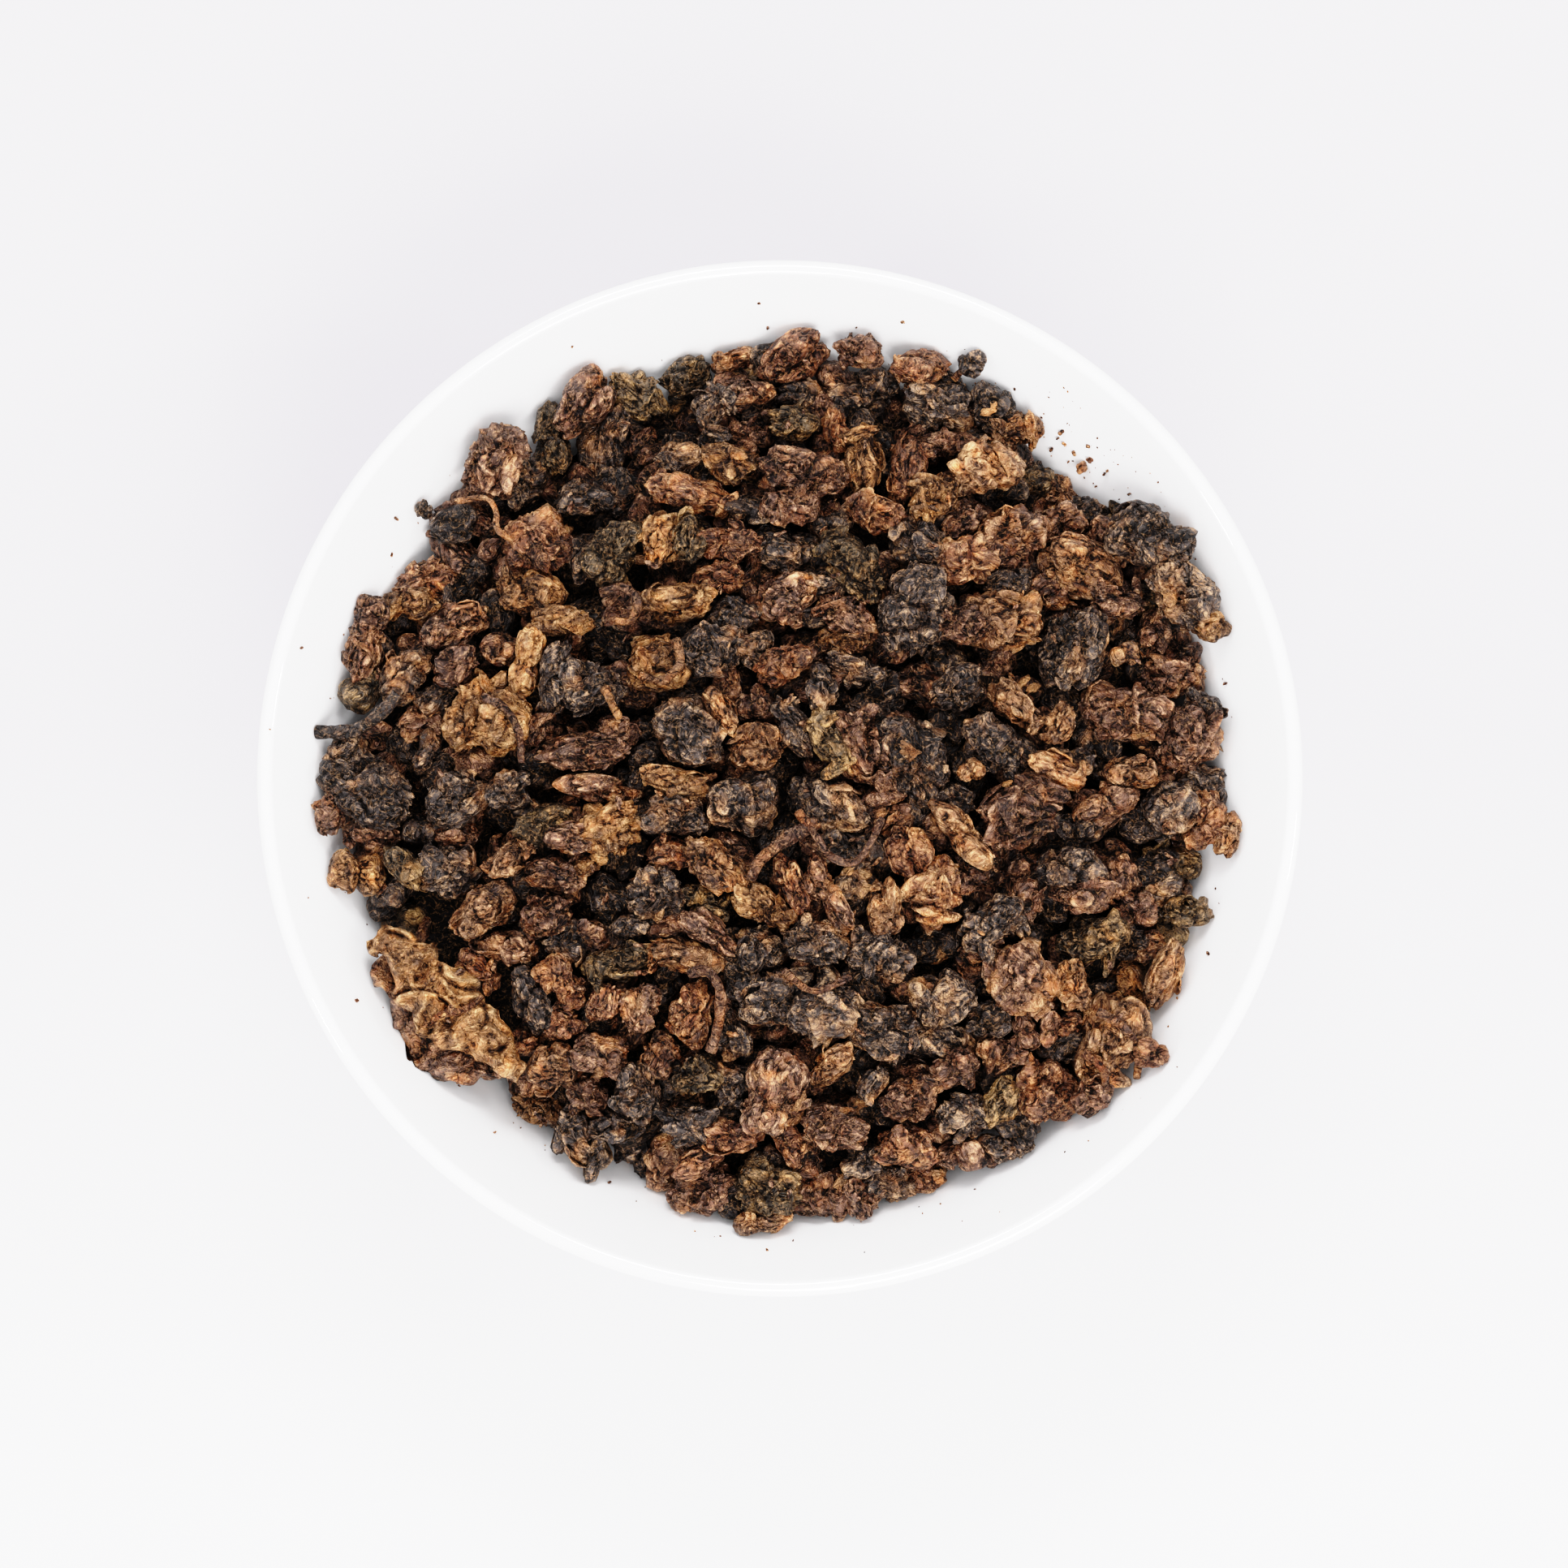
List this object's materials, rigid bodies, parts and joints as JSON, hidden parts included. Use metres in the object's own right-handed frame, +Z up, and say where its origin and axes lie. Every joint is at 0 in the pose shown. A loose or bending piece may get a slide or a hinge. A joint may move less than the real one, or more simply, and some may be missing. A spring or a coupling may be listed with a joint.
{
  "type": "oolong tea",
  "caption": "Heap of dry, tightly rolled oolong tea leaves piled loose above the middle of a small plain white porcelain bowl.",
  "frame": {"origin": "centre of the bowl's foot ring, on the plane the bowl stands on", "axes": "+Z up out of the bowl's mouth; -Y towards the picture's lower edge; +X to the picture's right"},
  "size_m": [0.108, 0.108, 0.0466],
  "materials": {
    "porcelain": "smooth clear glaze over white porcelain",
    "tea_leaf": "dry rolled leaf, dark brown with red-brown and tan ridges, slightly satin"
  },
  "bodies": {
    "root": {"bowl": "porcelain", "tea_heap": "tea_leaf"}
  },
  "joints": []
}
